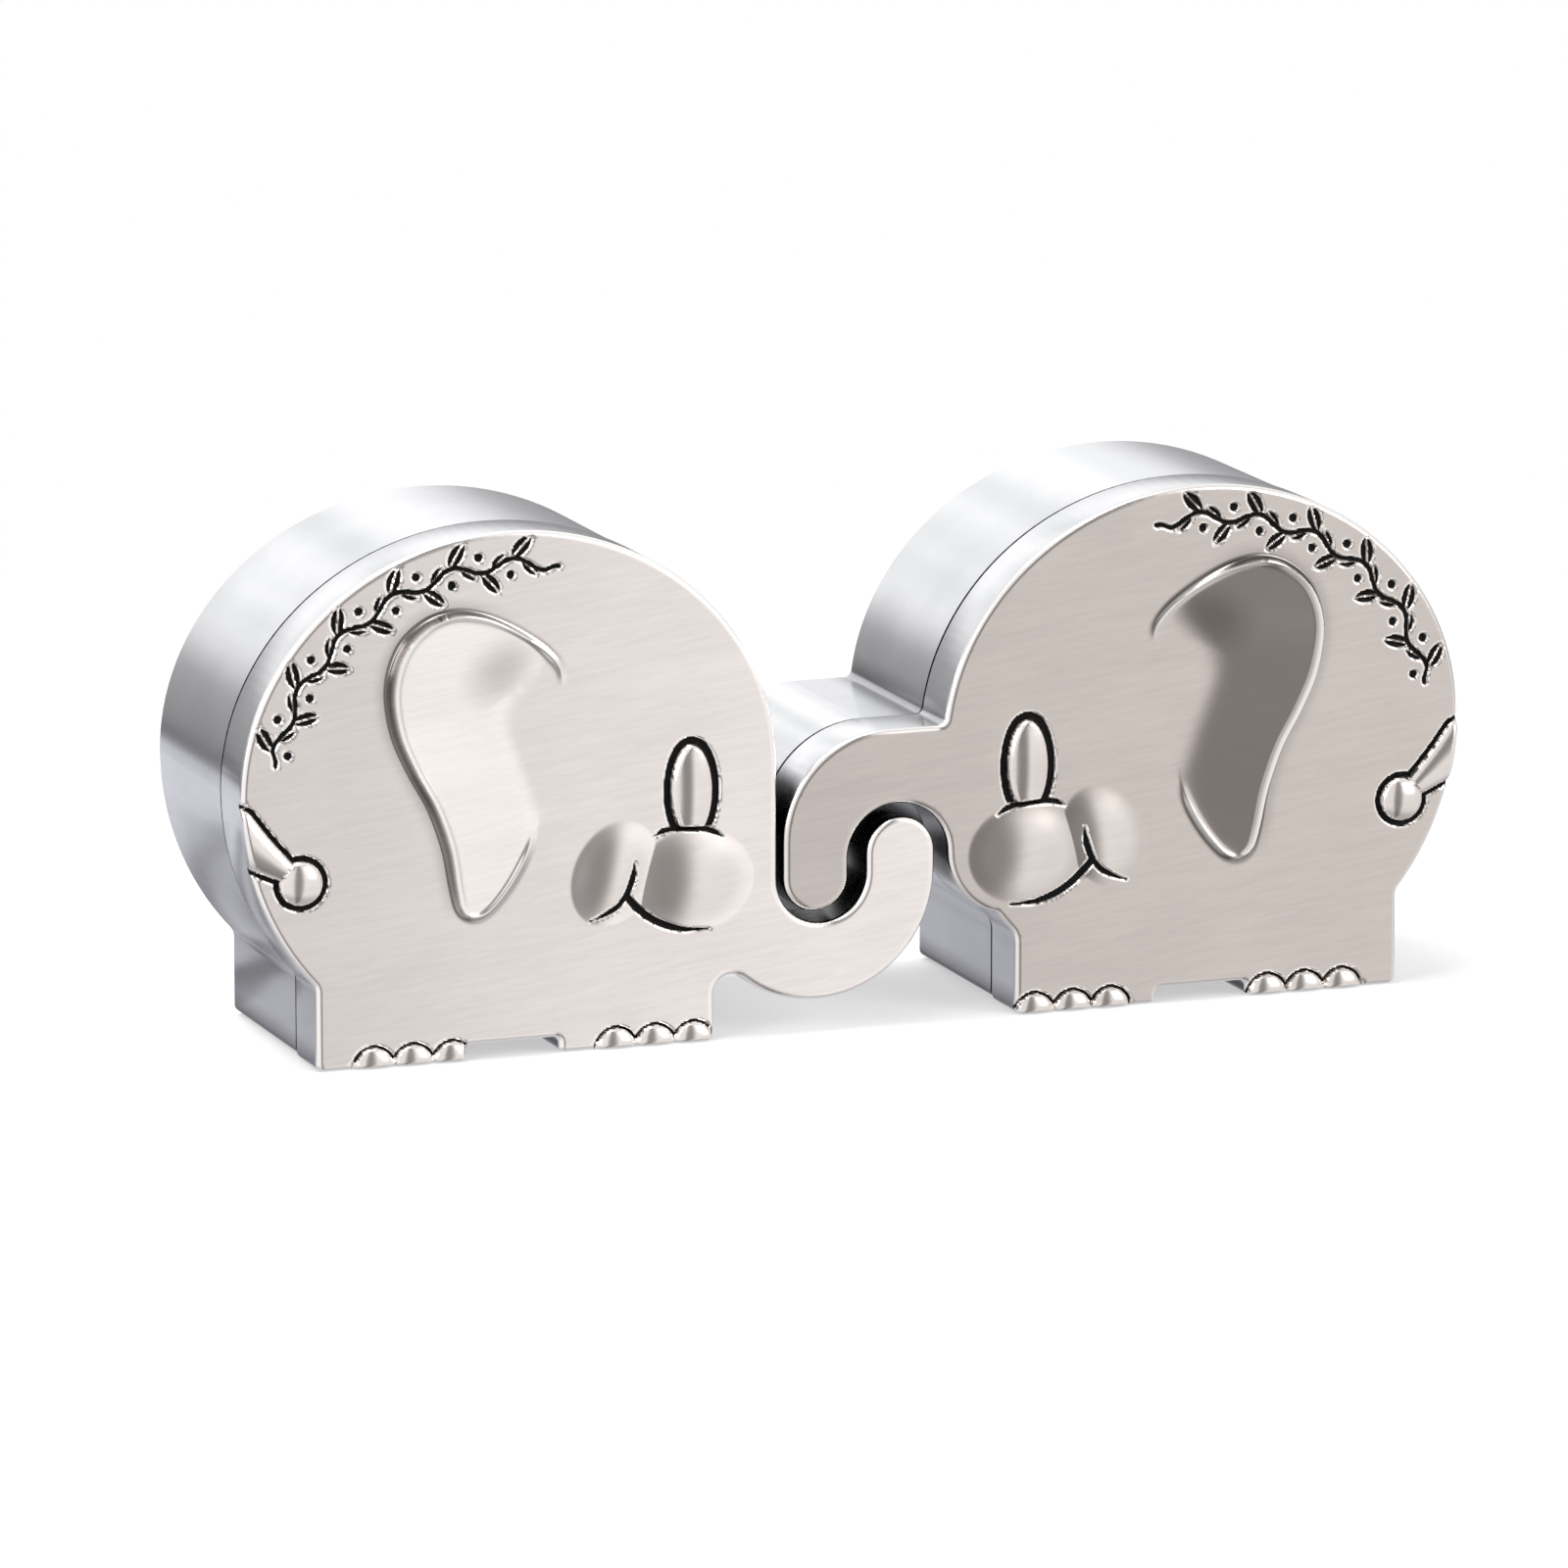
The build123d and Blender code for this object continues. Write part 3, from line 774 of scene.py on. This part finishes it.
def openLoops(mesh):
    # Every open edge loop of the mesh, as its corners in order
    links = {}
    for e in mesh.edges:
        if e.is_boundary:
            for v in e.verts:
                links.setdefault(v, []).append(e)
    loops, seen = [], set()
    for first in links:
        if first in seen:
            continue
        loop, edge = [first], links[first][0]
        vertex = edge.other_vert(first)
        while vertex != first:
            loop.append(vertex)
            edge = next(e for e in links[vertex] if e != edge)
            vertex = edge.other_vert(vertex)
        seen.update(loop)
        loops.append(loop)
    return loops


def flatOf(loop):
    return np.array([(v.co.x / mm, v.co.z / mm) for v in loop])


def addRing(mesh, flat, y):
    return [mesh.verts.new((x * mm, y, z * mm)) for x, z in flat]


def bridge(mesh, a, b, skin=0):
    # Band of faces between two rings
    for k in range(len(a)):
        after = (k + 1) % len(a)
        face = mesh.faces.new([a[k], a[after], b[after], b[k]])
        face.smooth = True
        face.material_index = skin


def fillOutline(points, count):
    # Triangles over flat points, the first of which are the closed outline: corners, faces, and for
    # each corner the points that it stands for
    outline = [(k, (k + 1) % count) for k in range(count)]
    made = delaunay_2d_cdt([Vector(p) for p in points.tolist()], outline, [], 1, 1e-7)
    return made[0], made[2], made[3]


def addPiece(mesh, pieceName, materials, sharpFrom=None):
    # The working mesh becomes a piece of the scene
    bmesh.ops.recalc_face_normals(mesh, faces=mesh.faces)
    data = bpy.data.meshes.new(pieceName)
    mesh.to_mesh(data)
    mesh.free()
    if "custom_normal" in data.attributes:
        data.attributes.remove(data.attributes["custom_normal"])
    for material in materials:
        data.materials.append(material)
    if sharpFrom:
        data.set_sharp_from_angle(angle=math.radians(sharpFrom))
    piece = bpy.data.objects.new(pieceName, data)
    bpy.context.scene.collection.objects.link(piece)
    return piece


def openEdges(data):
    # Edges that don't join exactly two faces
    loops = np.empty(len(data.loops), int)
    data.loops.foreach_get("edge_index", loops)
    return int((np.bincount(loops, minlength=len(data.edges)) != 2).sum())


# The covers keep the frame's own outline, tongue and inner shell, under a new carved face
coverShape = {
    "depth": 6.6,
    "faceWall": 1.8,
    "wallSlip": 0.05,  # the cut is made this much in front of the wall's inside
    "edgeRound": 0.5,
    "edgeWearAndHighlight": (0.15, 0.2),
    "edgeWearAndHighlightShare": 0.8,
    "edgeRows": (0.04, 0.12, 0.22, 0.34, 0.50, 0.66),
    "rowSlip": 0.03,
    "rowGap": 0.08,  # between the last edge row and the grid
    "sideStart": 0.12,  # behind the rounded edge
    "seamRound": 0.45,
    "seamRows": (0.0, 0.35, 0.75),
    "outlineStep": 0.3,
    "pitch": 0.16,
    "bend": 0.004,  # the grid is dense where the face bends more than this from its blurred shape
    "blurSteps": 2,
    "lineReach": 0.25,  # and this close to a filled line's edge
    "nearSteps": 4,
    "thinning": (2, 4),  # every second point is taken near by, and every fourth on the flat
    "earReach": 1.45,  # the rows along the ear's rim replace the grid this far from it
    "sharpFrom": 40.0,
}


def dilate(mask, count):
    out = mask.copy()
    for _ in range(count):
        grown = out.copy()
        grown[1:] |= out[:-1]
        grown[:-1] |= out[1:]
        grown[:, 1:] |= out[:, :-1]
        grown[:, :-1] |= out[:, 1:]
        out = grown
    return out


def blur(values, reach):
    for axis in (0, 1):
        total = sum(np.roll(values, k, axis=axis) for k in range(-reach, reach + 1))
        values = total / (2 * reach + 1)
    return values


def drawn(box, points):
    # From places in the scene to the relief's forward and up
    return np.column_stack([(points[:, 0] - box["centre"]) * box["facing"], points[:, 1]])


def gridPoints(box, outline, rimFlat):
    # Points over the face with their relief, dense where it bends and sparse on the flat
    low, high = outline.min(0), outline.max(0)
    xs, zs = (np.arange(low[k], high[k], coverShape["pitch"]) for k in (0, 1))
    gridX, gridZ = np.meshgrid(xs, zs, indexing="ij")
    flat = np.column_stack([gridX.ravel(), gridZ.ravel()])
    carved = relief(drawn(box, flat), box["footLead"])
    height, ink = carved[0].reshape(gridX.shape), carved[1].reshape(gridX.shape)
    bend = np.abs(height - blur(blur(height, coverShape["blurSteps"]), coverShape["blurSteps"]))
    busy = dilate((bend > coverShape["bend"]) | (np.abs(ink) < coverShape["lineReach"]), 1)
    near = dilate(busy, coverShape["nearSteps"])
    i, j = np.indices(gridX.shape)
    second, fourth = ((i % step == 0) & (j % step == 0) for step in coverShape["thinning"])
    chosen = busy | (near & second) | fourth
    flat, carved = flat[chosen.ravel()], carved[:, chosen.ravel()]
    gap = nearestOnPath(flat, rimFlat, closed=True)[0]
    clear = insidePolygon(flat, rimFlat) & (gap > coverShape["edgeRows"][-1] + coverShape["rowGap"])
    flat, carved = flat[clear], carved[:, clear]
    lipRows, earPath = earRows()
    loose = nearestOnPath(drawn(box, flat), earPath)[0] > coverShape["earReach"]
    lipPlaces = np.column_stack([lipRows[:, 0] * box["facing"] + box["centre"], lipRows[:, 1]])
    return (np.vstack([flat[loose], lipPlaces]),
            np.hstack([carved[:, loose], relief(lipRows, box["footLead"])]))


def makeCover(name):
    box = boxes[name]
    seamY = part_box(name + "_box_body")[0].y
    frontY = seamY - coverShape["depth"] * mm

    # Take the old face away, which leaves one open loop round the cover
    shell = cadMesh(name + "_box_lid")
    layers = {key: shell.verts.layers.float.new(key) for key in ("ink", "patinaAndShade", "wearAndHighlight", "dome")}
    keepFrom = frontY + (coverShape["faceWall"] - coverShape["wallSlip"]) * mm
    front = [f for f in shell.faces if min(v.co.y for v in f.verts) < keepFrom]
    bmesh.ops.delete(shell, geom=front, context="FACES")
    rim = openLoops(shell)[0]
    if not runsAnticlockwise(flatOf(rim)):  # as seen from the front
        rim.reverse()
    rimFlat = flatOf(rim)

    # Finer outline, with the direction that points in from each of its points
    fine, owner = [], []
    for k, (a, b) in enumerate(zip(rimFlat, np.roll(rimFlat, -1, axis=0))):
        parts = max(1, int(np.linalg.norm(b - a) / coverShape["outlineStep"]))
        for j in range(parts):
            fine.append(a + (b - a) * j / parts)
            owner.append(k)
    fine = np.array(fine)
    inward = leftOf(np.roll(fine, -2, axis=0) - np.roll(fine, 2, axis=0))

    # Rows of points round the edge, then the grid inside them
    edgeRows = (0.0, *coverShape["edgeRows"])
    rows = np.vstack([fine + inward * row for row in edgeRows])
    depths = np.repeat(edgeRows, len(fine))
    gap = nearestOnPath(rows, rimFlat, closed=True)[0]
    sound = (depths == 0) | (np.abs(gap - depths) < coverShape["rowSlip"])
    rows, depths = rows[sound], depths[sound]
    grid, gridCarved = gridPoints(box, fine, rimFlat)
    carved = np.hstack([relief(drawn(box, rows), box["footLead"]), gridCarved])
    heights, masks = carved[0], dict(zip(layers, carved[1:]))
    depths = np.concatenate([depths, np.full(len(grid), farOff)])
    edgeRound = coverShape["edgeRound"]
    drop = edgeRound - np.sqrt(edgeRound**2 - np.clip(edgeRound - depths, 0, None) ** 2)
    # Wear and a painted highlight along the rounded front edge
    edgeWearAndHighlight = coverShape["edgeWearAndHighlightShare"] * hump(depths, *coverShape["edgeWearAndHighlight"])
    masks["wearAndHighlight"] = np.maximum(masks["wearAndHighlight"], edgeWearAndHighlight)

    # The carved face
    for v in shell.verts:
        v[layers["ink"]] = 1.0
    verts, byPoint = [], {}
    places, faces, sources = fillOutline(np.vstack([rows, grid]), len(fine))
    for place, source in zip(places, sources):
        k = source[0]
        v = shell.verts.new((place.x * mm, frontY + (drop[k] - heights[k]) * mm, place.y * mm))
        for key, values in masks.items():
            v[layers[key]] = values[k]
        verts.append(v)
        byPoint.update((point, v) for point in source)
    for face in faces:
        shell.faces.new([verts[k] for k in face]).smooth = True

    # Side wall back to the seam, where its edge is rounded off and leaves a fine line that the nickel's
    # painted occlusion shade makes dark
    seamRound = coverShape["seamRound"]
    rings = [addRing(shell, fine, frontY + (edgeRound + coverShape["sideStart"]) * mm)]
    for share in coverShape["seamRows"]:
        off = seamRound * (1 - math.sqrt(1 - share**2))
        rings.append(addRing(shell, fine + inward * off, seamY - seamRound * (1 - share) * mm))
    for v in sum(rings, []):
        v[layers["ink"]] = 1.0
    faceEdge = [byPoint[k] for k in range(len(fine))]
    for before, after in zip([faceEdge] + rings, rings):
        bridge(shell, after, before, 1)
    rimInward = inward[[owner.index(k) for k in range(len(rim))]]
    for v, (offX, offZ) in zip(rim, rimInward * seamRound * mm):
        v.co.x += offX
        v.co.z += offZ
    for k in range(len(rim)):
        mine = [j for j in range(len(fine)) if owner[j] == k]
        top = [rings[-1][j] for j in mine] + [rings[-1][(mine[-1] + 1) % len(fine)]]
        made = shell.faces.new([*top[::-1], rim[k], rim[(k + 1) % len(rim)]])
        made.smooth = True
        made.material_index = 1
    for f in shell.faces:  # all that lies behind the carved face is plated
        if max(v.co.y for v in f.verts) > frontY + edgeRound * mm * 2:
            f.material_index = 1

    cover = addPiece(shell, name + "Cover", (pewterFinish[name], nickelFinish), coverShape["sharpFrom"])
    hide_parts(name + "_box_lid")
    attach(cover, name + "_lid")
    print(name, "cover faces", len(cover.data.polygons), "open edges", openEdges(cover.data))


for name in boxes:
    makeCover(name)
    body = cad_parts[name + "_box_body"]
    for materialSlot in body.material_slots:
        materialSlot.material = nickelFinish


def outerLoop(node, y, step):
    # Outline of a frame node's flat end in equal steps, anticlockwise; on a ring, its outside
    mesh = cadMesh(node)
    away = [f for f in mesh.faces if max(abs(v.co.y - y) for v in f.verts) > 1e-5]
    bmesh.ops.delete(mesh, geom=away, context="FACES")
    widest = max((flatOf(loop) for loop in openLoops(mesh)), key=lambda flat: np.ptp(flat[:, 0]))
    mesh.free()
    loop = evenSteps(widest, step, closed=True)
    return loop if runsAnticlockwise(loop) else loop[::-1]


def insetLoop(loop, amount):
    return loop + leftOf(np.roll(loop, -1, axis=0) - np.roll(loop, 1, axis=0)) * amount


padShape = {
    "pitch": 0.9,
    "edgeRound": 0.55,
    "edgeShares": (0.15, 0.4, 0.7, 1.0),
    "crown": 0.25,
    "crownReach": 5.0,
}


def makePad(pieceName, node, body, towards):
    # Crowned pad: flat where it is glued, soft edge and a low crown on the side that shows
    low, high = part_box(node)
    glued, shows = (high.y, low.y) if towards < 0 else (low.y, high.y)
    thick = abs(glued - shows) / mm
    pitch, edgeRound, crown = padShape["pitch"], padShape["edgeRound"], padShape["crown"]
    loop = outerLoop(node, low.y, pitch)
    section = [(0.0, 0.0), (0.0, thick - edgeRound)]
    for inset in (edgeRound * share for share in padShape["edgeShares"]):
        section.append((inset, thick - edgeRound + math.sqrt(edgeRound**2 - (edgeRound - inset) ** 2)))
    mesh = bmesh.new()
    rings = []
    for inset, rise in section:
        y = glued + towards * rise * mm * (1 - crown / thick)
        rings.append(addRing(mesh, insetLoop(loop, inset), y))
    for a, b in zip(rings[:-1], rings[1:]):
        bridge(mesh, a, b)

    # The side that shows, over a grid that swells towards the middle
    inner = insetLoop(loop, edgeRound)
    (lowX, lowZ), (highX, highZ) = loop.min(0), loop.max(0)
    grid = np.array([(x, z) for x in np.arange(lowX, highX, pitch) for z in np.arange(lowZ, highZ, pitch)])
    gap = nearestOnPath(grid, inner, closed=True)[0]
    keep = insidePolygon(grid, inner) & (gap > pitch * 0.5)
    grid, gap = grid[keep], gap[keep]
    verts = []
    places, faces, sources = fillOutline(np.vstack([inner, grid]), len(inner))
    for place, source in zip(places, sources):
        k = source[0]
        if k < len(inner):
            verts.append(rings[-1][k])
            continue
        swell = crown * (1 - math.exp(-gap[k - len(inner)] / padShape["crownReach"]))
        rise = thick - crown + swell
        verts.append(mesh.verts.new((place.x * mm, glued + towards * rise * mm, place.y * mm)))
    for face in faces:
        mesh.faces.new([verts[k] for k in face]).smooth = True
    mesh.faces.new(rings[0][::-1])

    pad = addPiece(mesh, pieceName, [velvetFinish])
    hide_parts(node)
    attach(pad, body)


stripShape = {
    "pitch": 0.9,
    "thick": 0.8,
    "roll": 0.3,
    "rollShare": 0.3,
    "sharpFrom": 50.0,
}


def makeStrip(pieceName, node, body):
    # Strip of velvet on card, glued round the wall, with a rolled front edge
    low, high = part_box(node)
    nearY, farY = low.y, high.y
    loop = outerLoop(node, low.y, stripShape["pitch"])
    thick, roll = stripShape["thick"], stripShape["roll"]
    turned = roll * stripShape["rollShare"]
    front = [(0.0, roll), (turned, turned), (roll, 0.0),
             (thick - roll, 0.0), (thick - turned, turned), (thick, roll)]
    section = [(0.0, farY), *((off, nearY + back * mm) for off, back in front), (thick, farY)]
    mesh = bmesh.new()
    rings = [addRing(mesh, insetLoop(loop, off), y) for off, y in section]
    for a, b in zip(rings, rings[1:] + rings[:1]):
        bridge(mesh, a, b)

    strip = addPiece(mesh, pieceName, [velvetFinish], stripShape["sharpFrom"])
    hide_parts(node)
    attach(strip, body)


for name in boxes:
    makePad(name + "FloorPad", name + "_box_floor_pad", name + "_box", -1)
    makePad(name + "CoverPad", name + "_lid_pad", name + "_lid", 1)
    makeStrip(name + "WallStrip", name + "_box_wall_lining", name + "_box")
print("velvet made")


def inReflection(nodes, light):
    # 1 for what is seen in metal or through glass
    return nodes.math("MAXIMUM", light["Is Glossy Ray"], light["Is Transmission Ray"])


table = {
    "half": 3.0,
    "sink": 0.00005,
    "color": (0.90, 0.90, 0.90, 1.0),
    "lift": 0.16,
    "shadowReach": (0.08, 0.24),  # metres from the object, over which its shadow fades to plain white
    "shadowEase": 0.45,
    "mirrorShadowHalf": 0.045,
    "mirrorShadowLevel": 0.68,
    "mirrorShadowReach": (0.03, 0.085),
    "mirrorShadowFront": (-0.012, 0.0, 1.0, 0.0),  # in front of the object the table gets no painted shadow
    "streaksMiddle": (-0.078, 0.045, 0.0),
    "streaksReach": (0.02, 0.045, 1.0, 0.0),
    "streaksWave": {"Scale": 30.0, "Distortion": 3.5, "Detail": 1.0},
    "streaks": (0.45, 0.75, 0.0, 0.6),
}


def makeTable():
    half = table["half"]
    mesh = bpy.data.meshes.new("table")
    corners = [(-half, -half, 0), (half, -half, 0), (half, half, 0), (-half, half, 0)]
    mesh.from_pydata(corners, [], [(0, 1, 2, 3)])
    floor = bpy.data.objects.new("table", mesh)
    floor.location.z = -table["sink"]
    bpy.context.scene.collection.objects.link(floor)
    material, nodes, shader = newMaterial("paleTable")
    material.node_tree.nodes.remove(shader)
    where = nodes.add("ShaderNodeNewGeometry").outputs["Position"]
    light = nodes.add("ShaderNodeLightPath").outputs

    # Seen straight: lit and shadowed near the object, plain white far from it
    diffuse = nodes.add("ShaderNodeBsdfDiffuse")
    diffuse.inputs["Color"].default_value = table["color"]
    lift = nodes.add("ShaderNodeEmission")
    lift.inputs["Strength"].default_value = table["lift"]
    seen = nodes.fill(nodes.add("ShaderNodeAddShader"), diffuse.outputs[0], lift.outputs[0])[0]
    far = nodes.add("ShaderNodeEmission").outputs[0]
    reach = nodes.vector("LENGTH", where)["Value"]
    faded = nodes.mixShader(nodes.remap(reach, *table["shadowReach"], table["shadowEase"], 1.0), seen, far)
    direct = nodes.mixShader(light["Is Camera Ray"], diffuse.outputs[0], faded)

    # Seen in the metal: the studio below it, with a painted shadow near the object, and a few dark streaks
    # behind it
    x, y, _ = nodes.split(where)
    beside = nodes.math("SUBTRACT", nodes.math("ABSOLUTE", x), table["mirrorShadowHalf"])
    beside = nodes.math("POWER", nodes.math("MAXIMUM", beside, 0.0), 2.0)
    apart = nodes.math("SQRT", nodes.math("ADD", beside, nodes.math("POWER", y, 2.0)))
    mirrorShadow = nodes.remap(apart, *table["mirrorShadowReach"], table["mirrorShadowLevel"], 1.0)
    mirrorShadow = nodes.math("MAXIMUM", mirrorShadow, nodes.remap(y, *table["mirrorShadowFront"]))
    wave = nodes.add("ShaderNodeTexWave", bands_direction="DIAGONAL")
    nodes.join(where, wave.inputs["Vector"])
    for socket, value in table["streaksWave"].items():
        wave.inputs[socket].default_value = value
    away = nodes.vector("DISTANCE", where, table["streaksMiddle"])["Value"]
    streaks = nodes.remap(wave.outputs["Fac"], *table["streaks"])
    streaks = nodes.math("MULTIPLY", streaks, nodes.remap(away, *table["streaksReach"]))
    mirror = nodes.add("ShaderNodeBsdfTransparent")
    tone = nodes.math("MULTIPLY", mirrorShadow, nodes.math("SUBTRACT", 1.0, streaks))
    nodes.join(tone, mirror.inputs["Color"])
    final = nodes.mixShader(inReflection(nodes, light), direct, mirror.outputs[0])
    nodes.join(final, material.node_tree.nodes["Material Output"].inputs["Surface"])
    mesh.materials.append(material)


worldLight = 0.50


def makeWorld():
    # Plain soft light; the camera sees white and the metal sees the studio
    world = bpy.data.worlds.new("studio")
    bpy.context.scene.world = world
    world.use_nodes = True
    nodes = Nodes(world.node_tree)
    for node in list(world.node_tree.nodes):
        world.node_tree.nodes.remove(node)
    plain = nodes.add("ShaderNodeBackground")
    plain.inputs["Strength"].default_value = worldLight
    shown = nodes.add("ShaderNodeBackground")
    glow = nodes.add("ShaderNodeGroup", node_tree=studioGlow)
    nodes.join(nodes.add("ShaderNodeTexCoord").outputs["Generated"], glow.inputs["Direction"])
    light = nodes.add("ShaderNodeLightPath").outputs
    mirrored = inReflection(nodes, light)
    nodes.join(nodes.mixColor(mirrored, (1, 1, 1, 1), glow.outputs["Color"]), shown.inputs["Color"])
    seen = nodes.math("MAXIMUM", mirrored, light["Is Camera Ray"])
    final = nodes.mixShader(seen, plain.outputs[0], shown.outputs[0])
    nodes.join(final, nodes.add("ShaderNodeOutputWorld").inputs["Surface"])


lamps = {
    "softTop": {"place": (-0.15, 0.10, 0.75), "size": (0.5, 0.5), "energy": 7.0},
    "softLeft": {"place": (-0.75, -0.35, 0.35), "size": (0.35, 0.5), "energy": 3.2},
    "softRight": {"place": (0.55, -0.65, 0.35), "size": (0.35, 0.5), "energy": 3.2},
}
lampTarget = Vector((0, 0, 0.02))


def makeLamp(name, place, size, energy):
    data = bpy.data.lights.new(name, "AREA")
    data.shape = "RECTANGLE"
    data.size, data.size_y = size
    data.energy = energy
    lamp = bpy.data.objects.new(name, data)
    lamp.location = place
    lamp.rotation_euler = (lampTarget - Vector(place)).to_track_quat("-Z", "Y").to_euler()
    bpy.context.scene.collection.objects.link(lamp)


# The photograph's own view, solved from the two boxes' outlines; its picture is 1600 wide
shot = {
    "turn": 20.15,
    "down": 11.85,
    "distance": 1.080,
    "target": (-0.00309, 0.0, 0.02146),
    "focalPixels": 11480.0,
    "pictureWidth": 1600.0,
    "sensor": 36.0,
    "clip": (0.05, 20.0),
}


def makeCamera():
    data = bpy.data.cameras.new("camera")
    data.sensor_width = shot["sensor"]
    data.lens = shot["focalPixels"] / shot["pictureWidth"] * data.sensor_width
    data.clip_start, data.clip_end = shot["clip"]
    camera = bpy.data.objects.new("camera", data)
    bpy.context.scene.collection.objects.link(camera)
    bpy.context.scene.camera = camera
    turn, down = math.radians(shot["turn"]), math.radians(shot["down"])
    ahead = Vector((math.sin(turn) * math.cos(down), math.cos(turn) * math.cos(down), -math.sin(down)))
    across = Vector((math.cos(turn), -math.sin(turn), 0))
    facing = Matrix((across, across.cross(ahead), -ahead)).transposed().to_4x4()
    camera.matrix_world = Matrix.Translation(Vector(shot["target"]) - ahead * shot["distance"]) @ facing


makeTable()
makeWorld()
for name, lamp in lamps.items():
    makeLamp(name, **lamp)
makeCamera()
bpy.context.scene.view_settings.view_transform = "Standard"
print("camera and light placed")
